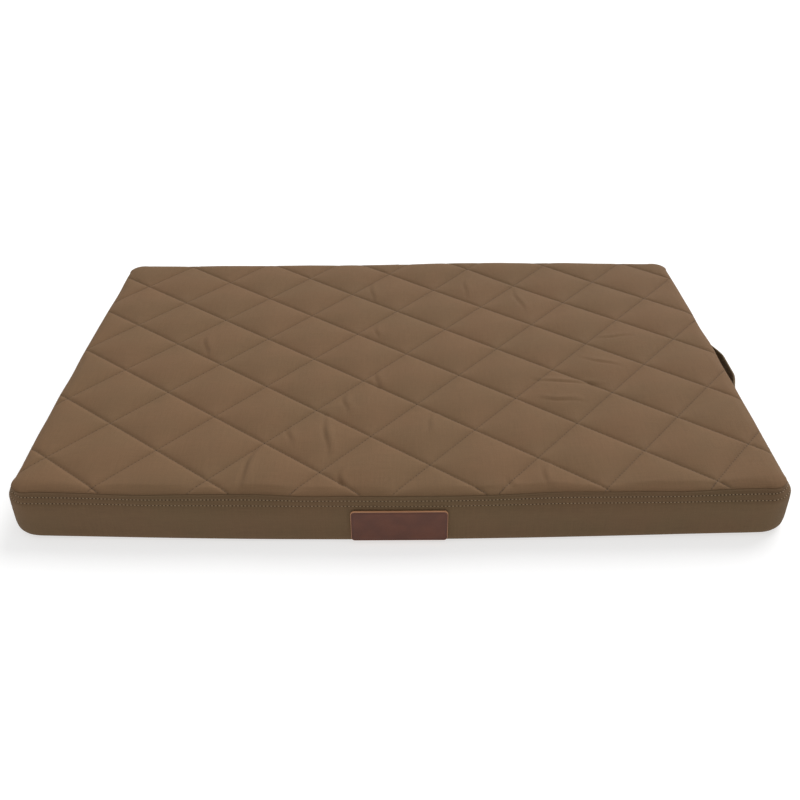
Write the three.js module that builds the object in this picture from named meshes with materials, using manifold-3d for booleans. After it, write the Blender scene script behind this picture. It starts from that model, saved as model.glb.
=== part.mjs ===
// Pet cushion bed: a foam mattress in a zipped canvas cover with a diamond-quilted top, a plain side band,
// a leather label on the front and a strap handle on the right side.
//
// Millimetres. +Z is up, the front is -Y, and the origin is the middle of the base, where it meets the floor.
// The cover is drawn as the pieces it is sewn from. Each layer follows one plan outline at its own inset, so a
// change of the bed's size, corner or bow moves every layer with it.
import * as THREE from "three";
import { mergeVertices } from "three/addons/utils/BufferGeometryUtils.js";
import Module from "manifold-3d";

const wasm = await Module();
wasm.setup();

// ---- Driving dimensions ----
const BED_WIDTH = 1014; // across the sides, at their fullest
const BED_DEPTH = 694; // front to back, at the fullest
const BED_HEIGHT = 80; // base to the crown of the quilting
const CORNER_RADIUS = 36; // of the plan outline
const FRONT_BOW = 13; // how far the middle of the front stands out past its ends
const SIDE_BOW = 3; // the same for each side; the back is straight, so that the zip runs straight
const GAP = 0.3; // between pieces that touch

const CANVAS = 1.5; // cover canvas with its turned seam allowance
const UNDER_TURN = 14; // how far the band rolls under before it meets the base panel
// The roll from the base up: its shares of the turn and of the rise, and of the canvas across and up to the inside.
const UNDER_CURVE = [[1, 0, 0, 1], [0.55, 0.05, 0.5, 1], [0.22, 0.22, 1, 1], [0.04, 0.55, 1, 0.25]];
const ROLL_TOP = 22; // the band is upright from here
const BULGE_TOP = 58; // up to here, and then leans in to the top seam
const SEAM_INSET = 6; // how far inside the band's fullest the top seam lies
const QUILT_LOFT = 8; // quilted top, from its backing to its crown
const SHOULDER = [[0, 0], [0, 0.3], [2, 0.62], [7, 0.88], [16, 1]]; // past the seam, and share of the loft
const QUILT_CANVAS = 1.2; // the quilting's own face fabric
const BACKING = 0.6; // scrim under the batting

const LINER = 0.8; // inner liner fabric
const LINER_INSET = 6; // from the cover's outside to the liner's outside
const COMFORT_FOAM = 20; // soft layer on top
const FOAM_EASE = 8; // rounding of the foam's long edges

const BACK_PANEL_END = 62; // from the bed's side to the seam where the back panel starts
const ZIP_HEIGHT = 38; // centre line of the zip above the floor
const ZIP_REVEAL = 6; // from the centre line to the folded canvas edge
const TAPE_WIDTH = 16;
const TAPE = 0.9; // thickness of a tape
const COIL_WIDTH = 2.8;
const COIL = 2.4; // how far a coil stands out from its tape
const COIL_SPLIT = 0.7; // half the space between the two coils, where the slider's web runs
const END_TAB = 24; // canvas tab over each end of the zip
const END_TAB_CORNER = 1;
const STOP_LENGTH = 5;

const SLIDER_LENGTH = 13;
const SLIDER_WIDTH = 10.4;
const SLIDER_CORNER = 3;
const SLIDER_PLATE = 1.2;
const SLIDER_CLEARANCE = 0.4;
const SLIDER_WEB = 0.8;
const BRIDGE_LENGTH = 8;
const BRIDGE_WIDTH = 3;
const BRIDGE_BAR = 1.3;
const BRIDGE_HOLE = 2.6; // how far the bridge stands off the slider
const PULL_LENGTH = 36;
const PULL_WIDTH = 7.6;
const PULL_CORNER = 2.4;
const PULL = 1.2;
const PULL_PIN = 1.2; // length of the pull's end bar along the tab
const PULL_PLAY = 0.6; // between the pull's window and the bridge

const LABEL_WIDTH = 124;
const LABEL_HEIGHT = 47.5;
const LABEL = 3;
const LABEL_CORNER = 5;
const LABEL_LOW = 6.5; // lower edge above the floor

const STRAP_WIDTH = 32;
const STRAP = 3;
const STRAP_SPAN = 160; // between the two sewn ends
const STRAP_SEWN = 34; // length of each sewn end
const STRAP_BOW = 13; // how far the strap stands off the band at its fullest
const STRAP_FALL = 0.3; // share of the bow lost from the rear end to the front end
const STRAP_RAMP_FRONT = 0.4; // share of the span over which the strap leaves the band
const STRAP_RAMP_REAR = 0.25;
const STRAP_HEIGHT = 41; // centre line above the floor
const SWING_LENGTH = 64; // length of the part that swings as one
const SWING_REARWARD = 8; // its middle, behind the bed's middle
const PATCH_MARGIN = 8; // past the strap's sewn end, along the side
const PATCH_OVER = 1; // past the strap's edges
const PATCH = 1;

// ---- Derived levels ----
const BAND_TOP = BED_HEIGHT - QUILT_LOFT - GAP;
const INSIDE_LOW = CANVAS + GAP;
const LINER_TOP = BAND_TOP - GAP;
const FOAM_LOW = INSIDE_LOW + LINER + GAP;
const FOAM_TOP = LINER_TOP - LINER - GAP;
const BACK_FACE = BED_DEPTH / 2; // outside of the back panel
const BACK_HALF = BED_WIDTH / 2 - BACK_PANEL_END;
const PAST = 1; // how far a cutting tool runs past the face that it cuts
const TAPE_OUT = BACK_FACE - CANVAS - GAP;
const COIL_OUT = TAPE_OUT + GAP + COIL;

const CORNER_STEPS = 7;
const SIDE_STEPS = 8;

// The plan outline at an inset from the cover's outside: four round corners joined by sides that bow outwards
// as parabolas. Counterclockwise from above, always with the same number of points.
function outline(inset) {
  const halfWidth = BED_WIDTH / 2 - inset;
  const halfDepth = BED_DEPTH / 2 - inset;
  const radius = CORNER_RADIUS - inset;
  const x = halfWidth - SIDE_BOW - radius;
  const front = -(halfDepth - FRONT_BOW - radius);
  const back = halfDepth - radius;
  const corners = [
    { centre: new THREE.Vector2(x, front), from: -90, nextBow: SIDE_BOW },
    { centre: new THREE.Vector2(x, back), from: 0, nextBow: 0 },
    { centre: new THREE.Vector2(-x, back), from: 90, nextBow: SIDE_BOW },
    { centre: new THREE.Vector2(-x, front), from: 180, nextBow: FRONT_BOW },
  ];
  const onArc = (corner, degrees) => {
    const a = THREE.MathUtils.degToRad(degrees);
    return new THREE.Vector2(Math.cos(a), Math.sin(a)).multiplyScalar(radius).add(corner.centre);
  };
  return corners.flatMap((corner, i) => {
    const next = corners[(i + 1) % corners.length];
    const turns = Array.from({ length: CORNER_STEPS + 1 }, (_, k) => (90 * k) / CORNER_STEPS);
    const arc = turns.map((turn) => onArc(corner, corner.from + turn));
    const start = arc[CORNER_STEPS];
    const end = onArc(next, next.from);
    const outward = start.clone().sub(corner.centre).normalize();
    const side = Array.from({ length: SIDE_STEPS - 1 }, (_, k) => {
      const t = (k + 1) / SIDE_STEPS;
      const bow = corner.nextBow * (1 - (2 * t - 1) ** 2);
      return start.clone().lerp(end, t).addScaledVector(outward, bow);
    });
    return [...arc, ...side];
  });
}

// A surface through one ring of the outline for each [inset, z] of a profile. A solid layer is capped at its
// first and last ring; a wall's profile closes on itself, up the outside and down the inside.
function skin(profile, isWall) {
  const rings = profile.map(([inset, z]) => outline(inset).map((p) => new THREE.Vector3(p.x, p.y, z)));
  const count = rings[0].length;
  const index = [];
  for (let j = 0; j < (isWall ? rings.length : rings.length - 1); j++) {
    const upper = (j + 1) % rings.length;
    for (let i = 0; i < count; i++) {
      const next = (i + 1) % count;
      const [a, b, c, d] = [j * count + i, j * count + next, upper * count + next, upper * count + i];
      index.push(a, b, c, a, c, d);
    }
  }
  if (!isWall) {
    const top = (rings.length - 1) * count;
    for (const [a, b, c] of THREE.ShapeUtils.triangulateShape(outline(profile[0][0]), [])) index.push(c, b, a);
    for (const [a, b, c] of THREE.ShapeUtils.triangulateShape(outline(profile.at(-1)[0]), [])) {
      index.push(top + a, top + b, top + c);
    }
  }
  return new THREE.BufferGeometry().setFromPoints(rings.flat()).setIndex(index);
}

const layer = (profile) => skin(profile, false);
const wall = (profile) => skin(profile, true);

// ---- Joins and cuts, with manifold-3d ----
function toSolid(geometry) {
  const bare = geometry.clone();
  bare.deleteAttribute("normal");
  bare.deleteAttribute("uv");
  const merged = mergeVertices(bare);
  return new wasm.Manifold(
    new wasm.Mesh({
      numProp: 3,
      vertProperties: merged.attributes.position.array,
      triVerts: new Uint32Array(merged.index.array),
    }),
  );
}

function toGeometry(solid) {
  const mesh = solid.getMesh();
  return new THREE.BufferGeometry()
    .setAttribute("position", new THREE.BufferAttribute(mesh.vertProperties, 3))
    .setIndex(new THREE.BufferAttribute(mesh.triVerts, 1));
}

// A box between two corners.
function block(low, high) {
  const size = high.map((v, i) => v - low[i]);
  return new THREE.BoxGeometry(...size).translate(...low.map((v, i) => v + size[i] / 2));
}

const join = (...shapes) => toGeometry(shapes.map(toSolid).reduce((a, b) => a.add(b)));
const cut = (shape, ...tools) => toGeometry(tools.map(toSolid).reduce((a, b) => a.subtract(b), toSolid(shape)));
const keep = (shape, region) => toGeometry(toSolid(shape).intersect(toSolid(region)));

function roundedRectangle(width, height, radius) {
  const [x, y] = [width / 2, height / 2];
  const shape = new THREE.Shape();
  shape.moveTo(-x + radius, -y);
  shape.absarc(x - radius, -y + radius, radius, -Math.PI / 2, 0);
  shape.absarc(x - radius, y - radius, radius, 0, Math.PI / 2);
  shape.absarc(-x + radius, y - radius, radius, Math.PI / 2, Math.PI);
  shape.absarc(-x + radius, -y + radius, radius, Math.PI, 1.5 * Math.PI);
  return shape;
}

const extrude = (shape, depth) =>
  new THREE.ExtrudeGeometry(shape, { depth, bevelEnabled: false, curveSegments: 5, steps: 1 });

// ---- Materials ----
const material = (color, roughness, metalness = 0) =>
  new THREE.MeshStandardMaterial({ color, roughness, metalness });
const topCanvas = material(0x7a6049, 0.9);
const bandCanvas = material(0x65523c, 0.9);
const baseCanvas = material(0x4d4235, 0.92);
const padding = material(0xe9e6df, 0.95);
const linerCloth = material(0xc9c6c0, 0.7);
const comfortFoam = material(0xd7e0e6, 0.9);
const supportFoam = material(0xefe6c4, 0.9);
const leather = material(0x5a382c, 0.5);
const strapCanvas = material(0x4b3f30, 0.9);
const zipCloth = material(0x54452f, 0.85);
const zipMetal = material(0x6b5a3e, 0.35, 0.9);

const bed = new THREE.Group();
bed.name = "pet_cushion_bed";

function add(name, geometry, finish, parent = bed) {
  const mesh = new THREE.Mesh(geometry, finish);
  mesh.name = name;
  parent.add(mesh);
  return mesh;
}

// ---- Foam core, and the liner that holds it ----
function buildCore() {
  const foamInset = LINER_INSET + LINER + GAP;
  const split = FOAM_TOP - COMFORT_FOAM;
  const support = [
    [foamInset + FOAM_EASE, FOAM_LOW],
    [foamInset, FOAM_LOW + FOAM_EASE],
    [foamInset, split - GAP],
  ];
  const comfort = [
    [foamInset, split],
    [foamInset, FOAM_TOP - FOAM_EASE],
    [foamInset + FOAM_EASE, FOAM_TOP],
  ];
  add("support_foam", layer(support), supportFoam);
  add("comfort_foam", layer(comfort), comfortFoam);

  const low = INSIDE_LOW;
  const lip = LINER_TOP - FOAM_EASE - 2 * GAP;
  const outside = [
    [LINER_INSET + FOAM_EASE, low],
    [LINER_INSET, low + FOAM_EASE],
    [LINER_INSET, lip],
  ];
  const hollow = [
    [LINER_INSET + LINER + FOAM_EASE, low + LINER],
    [LINER_INSET + LINER, low + LINER + FOAM_EASE],
    [LINER_INSET + LINER, lip + PAST],
  ];
  add("liner_tray", cut(layer(outside), layer(hollow)), linerCloth);

  const lidOutside = [
    [LINER_INSET, lip + GAP],
    [LINER_INSET, LINER_TOP - FOAM_EASE],
    [LINER_INSET + FOAM_EASE, LINER_TOP],
  ];
  const lidHollow = [
    [LINER_INSET + LINER, lip + GAP - PAST],
    [LINER_INSET + LINER, LINER_TOP - FOAM_EASE - LINER],
    [LINER_INSET + LINER + FOAM_EASE, LINER_TOP - LINER],
  ];
  add("liner_lid", cut(layer(lidOutside), layer(lidHollow)), linerCloth);
}

// ---- Quilted top: face canvas over batting over scrim ----
function buildQuilt() {
  const low = BAND_TOP + GAP;
  const rise = (inset, depth, from) =>
    SHOULDER.map(([past, share]) => [SEAM_INSET + inset + past, from + share * depth]);
  const face = rise(0, QUILT_LOFT, low);
  const paddingLow = low + BACKING + GAP;
  const paddingRise = BED_HEIGHT - QUILT_CANVAS - GAP - paddingLow;
  const inner = QUILT_CANVAS + GAP;
  const under = rise(QUILT_CANVAS, QUILT_LOFT - QUILT_CANVAS, low);
  under[0] = [SEAM_INSET + QUILT_CANVAS, low - PAST];
  add("quilt_face", cut(layer(face), layer(under)), topCanvas);
  add("quilt_batting", layer(rise(inner + GAP, paddingRise - GAP, paddingLow)), padding);
  add(
    "quilt_backing",
    layer([
      [SEAM_INSET + inner + GAP, low],
      [SEAM_INSET + inner + GAP, low + BACKING],
    ]),
    padding,
  );
}

// ---- Side band, back panel halves and base ----
// Outside and inside of the band in section: rolled under at the floor, upright, then leaning in to the top seam.
function bandProfile() {
  const rollRise = ROLL_TOP - GAP;
  const under = (turn, rise, across, up) => [UNDER_TURN * turn + CANVAS * across, GAP + rollRise * rise + CANVAS * up];
  const outside = [
    ...UNDER_CURVE.map(([turn, rise]) => under(turn, rise, 0, 0)),
    [0, ROLL_TOP],
    [0, BULGE_TOP],
    [SEAM_INSET, BAND_TOP],
  ];
  const inside = [
    [SEAM_INSET + CANVAS, BAND_TOP],
    [CANVAS, BULGE_TOP],
    [CANVAS, ROLL_TOP],
    ...UNDER_CURVE.map((share) => under(...share)).reverse(),
  ];
  return [...outside, ...inside];
}

function buildBand() {
  const ring = wall(bandProfile());
  const backZone = (half, low, high) => block([-half, 0, low], [half, BED_DEPTH, high]);
  add("side_band", cut(ring, backZone(BACK_HALF + GAP, -PAST, BED_HEIGHT)), bandCanvas);
  add(
    "back_band_upper",
    keep(ring, backZone(BACK_HALF, ZIP_HEIGHT + ZIP_REVEAL, BED_HEIGHT)),
    bandCanvas,
  );
  add("back_band_lower", keep(ring, backZone(BACK_HALF, -PAST, ZIP_HEIGHT - ZIP_REVEAL)), bandCanvas);
  add(
    "base_panel",
    layer([
      [UNDER_TURN + GAP, 0],
      [UNDER_TURN + GAP, CANVAS],
    ]),
    baseCanvas,
  );
}

// ---- Zip along the back ----
function buildZip() {
  const half = BACK_HALF - GAP;
  for (const [side, sign] of [["upper", 1], ["lower", -1]]) {
    const span = (from, to) => [ZIP_HEIGHT + sign * from, ZIP_HEIGHT + sign * to].sort((a, b) => a - b);
    const tape = span(COIL_SPLIT, COIL_SPLIT + TAPE_WIDTH);
    add(
      `zip_tape_${side}`,
      block([-half, TAPE_OUT - TAPE, tape[0]], [half, TAPE_OUT, tape[1]]),
      zipCloth,
    );
    const coilEnd = BACK_HALF - END_TAB - STOP_LENGTH - 2 * GAP;
    const coil = span(COIL_SPLIT, COIL_SPLIT + COIL_WIDTH);
    add(
      `zip_coil_${side}`,
      block([-coilEnd, TAPE_OUT + GAP, coil[0]], [coilEnd, COIL_OUT, coil[1]]),
      zipCloth,
    );
  }
  const stopHalf = COIL_SPLIT + COIL_WIDTH;
  for (const [side, sign] of [["left", -1], ["right", 1]]) {
    const stop = [BACK_HALF - END_TAB - GAP - STOP_LENGTH, BACK_HALF - END_TAB - GAP].map((v) => sign * v);
    stop.sort((a, b) => a - b);
    add(
      `zip_stop_${side}`,
      block([stop[0], TAPE_OUT + GAP, ZIP_HEIGHT - stopHalf], [stop[1], COIL_OUT, ZIP_HEIGHT + stopHalf]),
      zipMetal,
    );
    const tab = extrude(roundedRectangle(END_TAB, 2 * ZIP_REVEAL - 2 * GAP, END_TAB_CORNER), CANVAS);
    tab.rotateX(Math.PI / 2);
    add(
      `zip_end_tab_${side}`,
      tab.translate(sign * (BACK_HALF - END_TAB / 2), BACK_FACE, ZIP_HEIGHT),
      bandCanvas,
    );
  }
}

// The slider runs over both coils: a plate outside, a plate inside, a web between them, and a bridge for the pull.
function buildSlider() {
  const shut = BACK_HALF - END_TAB - STOP_LENGTH - 3 * GAP - SLIDER_LENGTH / 2;
  const outer = COIL_OUT + SLIDER_CLEARANCE;
  const inner = TAPE_OUT - TAPE - SLIDER_CLEARANCE - SLIDER_PLATE;
  const plate = (y) =>
    extrude(roundedRectangle(SLIDER_LENGTH, SLIDER_WIDTH, SLIDER_CORNER), SLIDER_PLATE)
      .rotateX(Math.PI / 2)
      .translate(0, y + SLIDER_PLATE, 0);
  const web = block(
    [-SLIDER_LENGTH / 3, inner + SLIDER_PLATE / 2, -SLIDER_WEB / 2],
    [SLIDER_LENGTH / 3, outer + SLIDER_PLATE / 2, SLIDER_WEB / 2],
  );
  const face = outer + SLIDER_PLATE;
  const bridge = block(
    [-BRIDGE_LENGTH / 2, face - SLIDER_PLATE / 2, -BRIDGE_WIDTH / 2],
    [BRIDGE_LENGTH / 2, face + BRIDGE_HOLE + BRIDGE_BAR, BRIDGE_WIDTH / 2],
  );
  const holeHalf = BRIDGE_LENGTH / 2 - BRIDGE_BAR;
  const hole = block([-holeHalf, face, -BRIDGE_WIDTH], [holeHalf, face + BRIDGE_HOLE, BRIDGE_WIDTH]);
  const slider = new THREE.Group();
  slider.position.set(shut, 0, ZIP_HEIGHT);
  bed.add(slider);
  add("zip_slider", cut(join(plate(outer), plate(inner), web, bridge), hole), zipMetal, slider);

  // The pull hangs on the bridge by its end bar and lies along the zip.
  const windowEnd = Math.hypot(BRIDGE_LENGTH / 2, BRIDGE_HOLE / 2 + BRIDGE_BAR) + PULL_PLAY;
  const tab = roundedRectangle(PULL_LENGTH, PULL_WIDTH, PULL_CORNER);
  const shape = extrude(tab, PULL).translate(-PULL_LENGTH / 2 + PULL_PIN / 2, 0, 0);
  const window = block(
    [-windowEnd, -BRIDGE_WIDTH / 2 - PULL_PLAY, -PULL],
    [-PULL_PIN / 2, BRIDGE_WIDTH / 2 + PULL_PLAY, 2 * PULL],
  );
  const pull = cut(shape, window).rotateX(Math.PI / 2);
  const pivot = face + BRIDGE_HOLE / 2;
  add("zip_pull", pull, zipMetal, slider).position.set(0, pivot + PULL / 2, 0);
}

// ---- Leather label, on the middle of the front ----
function buildLabel() {
  const plate = extrude(roundedRectangle(LABEL_WIDTH, LABEL_HEIGHT, LABEL_CORNER), LABEL);
  plate.rotateX(Math.PI / 2);
  plate.translate(0, -BED_DEPTH / 2 - GAP, LABEL_LOW + LABEL_HEIGHT / 2);
  add("leather_label", plate, leather);
}

// ---- Strap handle, on the middle of the right side ----
// How far the strap stands off the band at a place along it: a long slope up from the front end, a fullest
// part behind the middle, and a short steep slope down to the rear end.
function strapRise(y) {
  const u = y / STRAP_SPAN + 0.5;
  const front = THREE.MathUtils.smoothstep(u, 0, STRAP_RAMP_FRONT);
  const rear = THREE.MathUtils.smoothstep(1 - u, 0, STRAP_RAMP_REAR);
  return STRAP_BOW * front * rear * (1 - STRAP_FALL * (1 - u));
}

// Where the right side of the outline is at a distance from the middle of the bed.
function sideAt(y) {
  const points = outline(0);
  const i = points.findIndex((p, k) => k > CORNER_STEPS && points[k + 1].y >= y && p.y <= y);
  const share = (y - points[i].y) / (points[i + 1].y - points[i].y);
  return THREE.MathUtils.lerp(points[i].x, points[i + 1].x, share);
}

// The strap between two places along the side, as a band of even thickness across the handle's width.
function strapPiece(from, to, steps) {
  const places = Array.from({ length: steps + 1 }, (_, i) => from + ((to - from) * i) / steps);
  const lie = (y, out) => new THREE.Vector2(sideAt(y) + GAP + strapRise(y) + out, y);
  const shape = new THREE.Shape([
    ...places.map((y) => lie(y, 0)),
    ...places.map((y) => lie(y, STRAP)).reverse(),
  ]);
  return extrude(shape, STRAP_WIDTH).translate(0, 0, STRAP_HEIGHT - STRAP_WIDTH / 2);
}

function buildHandle() {
  const end = STRAP_SPAN / 2 + STRAP_SEWN;
  const swingFront = SWING_REARWARD - SWING_LENGTH / 2;
  const swingRear = SWING_REARWARD + SWING_LENGTH / 2;
  add("handle_strap", strapPiece(swingFront, swingRear, 12), strapCanvas);
  add("handle_end_front", strapPiece(-end, swingFront - GAP, 14), strapCanvas);
  add("handle_end_rear", strapPiece(swingRear + GAP, end, 14), strapCanvas);
  for (const [side, sign] of [["front", -1], ["rear", 1]]) {
    const y = sign * (STRAP_SPAN / 2 + STRAP_SEWN / 2);
    const halfLength = STRAP_SEWN / 2 + PATCH_MARGIN;
    const x = Math.min(sideAt(y - halfLength), sideAt(y + halfLength)) - CANVAS - GAP;
    const halfHeight = STRAP_WIDTH / 2 + PATCH_OVER;
    add(
      `handle_patch_${side}`,
      block([x - PATCH, y - halfLength, STRAP_HEIGHT - halfHeight], [x, y + halfLength, STRAP_HEIGHT + halfHeight]),
      bandCanvas,
    );
  }
}

buildCore();
buildQuilt();
buildBand();
buildZip();
buildSlider();
buildLabel();
buildHandle();

export default bed;
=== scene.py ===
# A pet cushion bed, drawn as it is sewn and filled: foam and liner, base, side band, zip, quilted top,
# stitching, leather label and carry strap. Metres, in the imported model's frame: +Z up, the front is -Y.
import math

import bmesh
import bpy
import numpy as np
from mathutils import Matrix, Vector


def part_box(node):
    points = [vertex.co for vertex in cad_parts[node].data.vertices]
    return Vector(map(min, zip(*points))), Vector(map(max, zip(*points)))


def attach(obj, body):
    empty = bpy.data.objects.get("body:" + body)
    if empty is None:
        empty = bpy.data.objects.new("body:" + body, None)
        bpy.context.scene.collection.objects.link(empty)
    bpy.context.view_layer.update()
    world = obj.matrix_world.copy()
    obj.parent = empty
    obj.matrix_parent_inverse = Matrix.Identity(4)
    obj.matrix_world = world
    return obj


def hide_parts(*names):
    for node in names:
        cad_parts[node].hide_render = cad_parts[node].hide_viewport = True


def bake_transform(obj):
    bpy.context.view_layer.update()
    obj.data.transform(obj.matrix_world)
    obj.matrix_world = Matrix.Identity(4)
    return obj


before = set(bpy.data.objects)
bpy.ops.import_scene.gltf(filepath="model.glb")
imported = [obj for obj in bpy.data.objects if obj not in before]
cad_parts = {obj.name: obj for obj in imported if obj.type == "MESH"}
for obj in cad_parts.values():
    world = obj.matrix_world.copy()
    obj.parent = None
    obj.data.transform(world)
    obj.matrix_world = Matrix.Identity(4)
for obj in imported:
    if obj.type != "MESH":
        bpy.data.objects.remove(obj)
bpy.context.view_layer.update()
MM = 0.001

# ---- Foam core ----
# Two layers of foam, cut with a hot wire and glued at their faces: a firm core below, a softer layer above.
# Their long edges are rounded, and the cut faces show open cells.
band_low, band_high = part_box("side_band")
BED_WIDTH = band_high[0] - band_low[0]
BED_DEPTH = band_high[1] - band_low[1]
CORNER_RADIUS = 36 * MM
FRONT_BOW = 13 * MM
SIDE_BOW = 3 * MM


class BedOutline:
    """The bed's plan outline, anticlockwise from the middle of the back, as a foot, a direction and a reach
    at each step: a point at an inset is the foot plus (reach less inset) along the direction. Corners turn
    about their centres. Sides are straight with a parabola's bow added to the reach."""

    def __init__(self, along_width, along_depth, half_corner):
        self.half_width, self.half_depth = along_width // 2 + half_corner, along_depth // 2 + half_corner
        x = BED_WIDTH / 2 - SIDE_BOW - CORNER_RADIUS
        front, back = FRONT_BOW + CORNER_RADIUS - BED_DEPTH / 2, BED_DEPTH / 2 - CORNER_RADIUS
        centres = np.array([(x, back), (-x, back), (-x, front), (x, front)])
        bows = (0, SIDE_BOW, FRONT_BOW, SIDE_BOW)
        foot, angle, bow = [], [], []
        for i in range(4):
            side_steps = along_width if i % 2 == 0 else along_depth
            t = np.arange(side_steps)[:, None] / side_steps
            foot.append(centres[i] * (1 - t) + centres[(i + 1) % 4] * t)
            angle.append(np.full(side_steps, 90.0 * (i + 1)))
            bow.append(bows[i] * (1 - (2 * t[:, 0] - 1) ** 2))
            turn = np.arange(2 * half_corner)
            foot.append(np.repeat(centres[(i + 1) % 4][None], len(turn), axis=0))
            angle.append(90.0 * (i + 1) + 90.0 * turn / (2 * half_corner))
            bow.append(np.zeros(len(turn)))
        start = -(along_width // 2)
        self.foot = np.roll(np.concatenate(foot), start, axis=0)
        self.angle = np.roll(np.radians(np.concatenate(angle)), start)
        self.direction = np.stack([np.cos(self.angle), np.sin(self.angle)], axis=1)
        self.reach = CORNER_RADIUS + np.roll(np.concatenate(bow), start)
        self.cornering = np.abs(np.sin(2 * self.angle))
        steps = np.linalg.norm(np.diff(self.at(0), axis=0, append=self.at(0)[:1]), axis=1)
        self.travel = np.concatenate([[0], np.cumsum(steps)[:-1]])

    def at(self, inset):
        """The outline at an inset, which may be one value for each step."""
        return self.foot + (self.reach - inset)[:, None] * self.direction

    def ring(self, inset, z):
        """The outline at an inset as points at a height."""
        flat = self.at(inset)
        return np.column_stack([flat, np.broadcast_to(z, len(flat))])

    def patch(self, ring):
        """The surface spanned by a closed ring: a Coons patch, which is the sum of the straight blends
        between opposite sides less the blend of the four corners. Rows run from back to front."""
        turned = np.roll(ring, -self.half_width, axis=0)
        wide, deep = 2 * self.half_width, 2 * self.half_depth
        left = turned[: deep + 1]
        front = turned[deep : deep + wide + 1]
        right = turned[deep + wide : 2 * deep + wide + 1][::-1]
        back = np.concatenate([turned[2 * deep + wide :], turned[:1]])[::-1]
        s = ((front[:, 0] - front[0, 0]) / (front[-1, 0] - front[0, 0]))[None, :, None]
        t = ((left[:, 1] - left[0, 1]) / (left[-1, 1] - left[0, 1]))[:, None, None]
        across = (1 - s) * left[:, None] + s * right[:, None]
        along = (1 - t) * back[None] + t * front[None]
        corners = (1 - t) * ((1 - s) * back[0] + s * back[-1]) + t * ((1 - s) * front[0] + s * front[-1])
        return across + along - corners

    def rim_ids(self):
        """The patch's outer vertices, in the outline's order."""
        wide, deep = 2 * self.half_width, 2 * self.half_depth
        ids = np.arange((deep + 1) * (wide + 1)).reshape(deep + 1, wide + 1)
        loop = np.concatenate([ids[:-1, 0], ids[-1, :-1], ids[:0:-1, -1], ids[0, :0:-1]])
        return np.roll(loop, self.half_width)


def numbered(points):
    """The vertex numbers of a grid of points, in the same rows and columns."""
    return np.arange(points[..., 0].size).reshape(points.shape[:2])


def grid_faces(ids, wrap_columns=False):
    """Quads between neighbouring rows and columns of vertex numbers. They face up or out where rows run down
    the outside and columns run anticlockwise."""
    if wrap_columns:
        ids = np.concatenate([ids, ids[:, :1]], axis=1)
    return np.stack([ids[:-1, :-1], ids[1:, :-1], ids[1:, 1:], ids[:-1, 1:]], axis=-1).reshape(-1, 4)


def over_outline(outline, rings, top=None, base=None):
    """Points and quads of a body over the outline: its side is a stack of rings from the top down, and a
    patch may close the first ring from above and the last from below."""
    rim = outline.rim_ids()
    parts, loops, quads, count = [], [], [], 0
    if top is not None:
        ids = numbered(top)
        parts.append(top.reshape(-1, 3))
        quads.append(grid_faces(ids))
        loops.append(rim)
        rings, count = rings[1:], ids.size
    middle = rings[:-1] if base is not None else rings
    ids = count + numbered(middle)
    parts.append(middle.reshape(-1, 3))
    loops.extend(ids)
    count += ids.size
    if base is not None:
        ids = count + numbered(base)
        parts.append(base.reshape(-1, 3))
        quads.append(grid_faces(ids)[:, ::-1])
        loops.append(rim + count)
    quads.append(grid_faces(np.array(loops), wrap_columns=True))
    return np.concatenate(parts), np.concatenate(quads)


def add_object(name, data):
    """An object of a mesh, a lamp or a camera, in the scene."""
    made = bpy.data.objects.new(name, data)
    bpy.context.collection.objects.link(made)
    return made


def make_piece(name, points, quads, body, finish, polygons=(), cloth_uv=None):
    """A smooth mesh from points, quads and a few larger polygons, riding on a body, or on none. Its faces are
    turned outwards: the volume they enclose, or that an open sheet encloses with the bed's origin, is
    positive. cloth_uv is each point's place on the flat cloth."""
    mesh = bpy.data.meshes.new(name)
    faces = [*quads.tolist(), *[list(map(int, p)) for p in polygons]]
    mesh.from_pydata(points.reshape(-1, 3).tolist(), [], faces)
    shape = bmesh.new()
    shape.from_mesh(mesh)
    if shape.calc_volume(signed=True) < 0:
        mesh.flip_normals()
    shape.free()
    mesh.polygons.foreach_set("use_smooth", np.ones(len(mesh.polygons), bool))
    if cloth_uv is not None:
        corner = np.empty(len(mesh.loops), np.int32)
        mesh.loops.foreach_get("vertex_index", corner)
        layer = mesh.uv_layers.new(name="cloth")
        layer.data.foreach_set("uv", cloth_uv.reshape(-1, 2)[corner].astype(np.float32).ravel())
    mesh.materials.append(finish.material)
    piece = add_object(name, mesh)
    if body:
        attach(piece, body)
    return piece


class Socket:
    """A shader node's output. Arithmetic on it adds Math nodes."""

    def __init__(self, finish, link):
        self.finish, self.link = finish, link

    def maths(self, operation, *values):
        sockets = dict(enumerate(values))
        return self.finish.node("ShaderNodeMath", {"operation": operation}, sockets)

    def __add__(self, other):
        return self.maths("ADD", self, other)

    def __sub__(self, other):
        return self.maths("SUBTRACT", self, other)

    def __rsub__(self, other):
        return self.maths("SUBTRACT", other, self)

    def __mul__(self, other):
        return self.maths("MULTIPLY", self, other)

    __radd__, __rmul__ = __add__, __mul__

    def sin(self):
        return self.maths("SINE", self)

    def size(self):
        return self.maths("ABSOLUTE", self)

    def ramp(self, low, high):
        """0 below low and 1 above high, smoothly between."""
        settings = {"interpolation_type": "SMOOTHSTEP"}
        sockets = {"Value": self, "From Min": low, "From Max": high}
        return self.finish.node("ShaderNodeMapRange", settings, sockets)


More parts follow.
